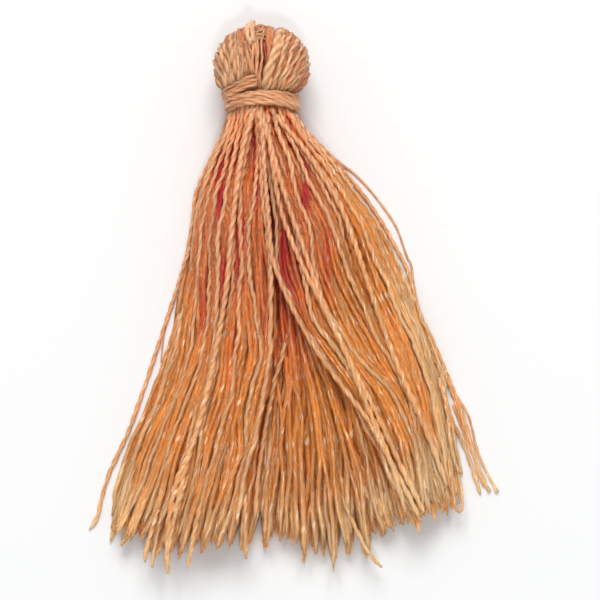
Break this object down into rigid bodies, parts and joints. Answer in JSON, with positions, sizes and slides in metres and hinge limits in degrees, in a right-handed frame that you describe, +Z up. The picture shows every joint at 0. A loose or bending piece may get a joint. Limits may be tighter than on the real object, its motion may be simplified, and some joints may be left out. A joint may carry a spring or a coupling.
{
  "type": "thread tassel",
  "caption": "Small thread tassel: a folded hank with a bound neck and a spread fringe, lying flat on its side; it hangs from a bag, earring, cord or key ring.",
  "frame": {"origin": "on the surface, at the small flat spot under the middle of the head", "axes": "+Y along the tassel from the fringe to the head, +X to the right as seen from above, +Z up from the surface"},
  "size_m": [0.0228, 0.0309, 0.0049],
  "materials": {
    "hank_thread": "two-ply mercerised cotton, soft sheen",
    "binding_thread": "two-ply mercerised cotton, wound tight",
    "tie_thread": "single-ply mercerised cotton"
  },
  "bodies": {
    "root": {"hank": "hank_thread", "binding": "binding_thread", "tie": "tie_thread"}
  },
  "joints": []
}
